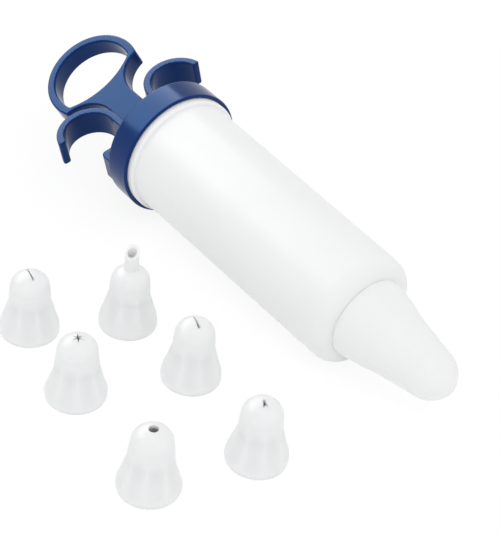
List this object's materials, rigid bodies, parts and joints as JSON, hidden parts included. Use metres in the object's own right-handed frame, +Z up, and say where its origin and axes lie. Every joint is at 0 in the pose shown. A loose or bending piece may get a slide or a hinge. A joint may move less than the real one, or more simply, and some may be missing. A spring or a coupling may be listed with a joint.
{
  "type": "cake decorating syringe",
  "caption": "Kitchen icing syringe with a thumb-ring plunger, twist-on finger-grip cap, drafted barrel, push-on nozzle cover and loose push-on piping tips standing beside it.",
  "frame": {"origin": "centre of the whole set's footprint, on the surface that it stands and lies on", "axes": "+X along the syringe towards its nozzle, +Y from the loose tips towards the syringe, +Z up"},
  "size_m": [0.2306, 0.1412, 0.0524],
  "materials": {
    "white_plastic": "satin injection-moulded white plastic",
    "blue_plastic": "satin-gloss injection-moulded blue plastic",
    "seal_rubber": "matt pale silicone rubber"
  },
  "bodies": {
    "barrel_body": {"barrel": "white_plastic"},
    "cap_body": {"grip_cap": "blue_plastic"},
    "piston_body": {"piston_head": "white_plastic", "piston_seal": "seal_rubber"},
    "plunger_body": {"plunger": "blue_plastic"},
    "cover_body": {"nozzle_cover": "white_plastic"},
    "tip_long_slit_body": {"tip_long_slit": "white_plastic"},
    "tip_short_slit_body": {"tip_short_slit": "white_plastic"},
    "tip_leaf_body": {"tip_leaf": "white_plastic"},
    "tip_star_body": {"tip_star": "white_plastic"},
    "tip_round_body": {"tip_round": "white_plastic"},
    "tip_tube_body": {"tip_tube": "white_plastic"}
  },
  "joints": [
    {"name": "cap_twist", "type": "hinge", "parent": "barrel_body", "child": "cap_body", "pos_m": [-0.03656, 0.03636, 0.02596], "axis": [-0.9991, 0, 0.0413], "range_deg": [0, 40]},
    {"name": "piston_slide", "type": "slide", "parent": "barrel_body", "child": "piston_body", "axis": [-0.9991, 0, 0.0413], "range_m": [0, 0.105]},
    {"name": "plunger_turn", "type": "hinge", "parent": "piston_body", "child": "plunger_body", "pos_m": [-0.03656, 0.03636, 0.02596], "axis": [0.9991, 0, -0.0413], "continuous": true},
    {"name": "cover_pull", "type": "slide", "parent": "barrel_body", "child": "cover_body", "axis": [0.9991, 0, -0.0413], "range_m": [0, 0.06]},
    {"name": "tip_long_slit_lift", "type": "slide", "parent": "barrel_body", "child": "tip_long_slit_body", "axis": [0, 0, 1], "range_m": [0, 0.04]},
    {"name": "tip_short_slit_lift", "type": "slide", "parent": "barrel_body", "child": "tip_short_slit_body", "axis": [0, 0, 1], "range_m": [0, 0.04]},
    {"name": "tip_leaf_lift", "type": "slide", "parent": "barrel_body", "child": "tip_leaf_body", "axis": [0, 0, 1], "range_m": [0, 0.04]},
    {"name": "tip_star_lift", "type": "slide", "parent": "barrel_body", "child": "tip_star_body", "axis": [0, 0, 1], "range_m": [0, 0.04]},
    {"name": "tip_round_lift", "type": "slide", "parent": "barrel_body", "child": "tip_round_body", "axis": [0, 0, 1], "range_m": [0, 0.04]},
    {"name": "tip_tube_lift", "type": "slide", "parent": "barrel_body", "child": "tip_tube_body", "axis": [0, 0, 1], "range_m": [0, 0.04]}
  ]
}
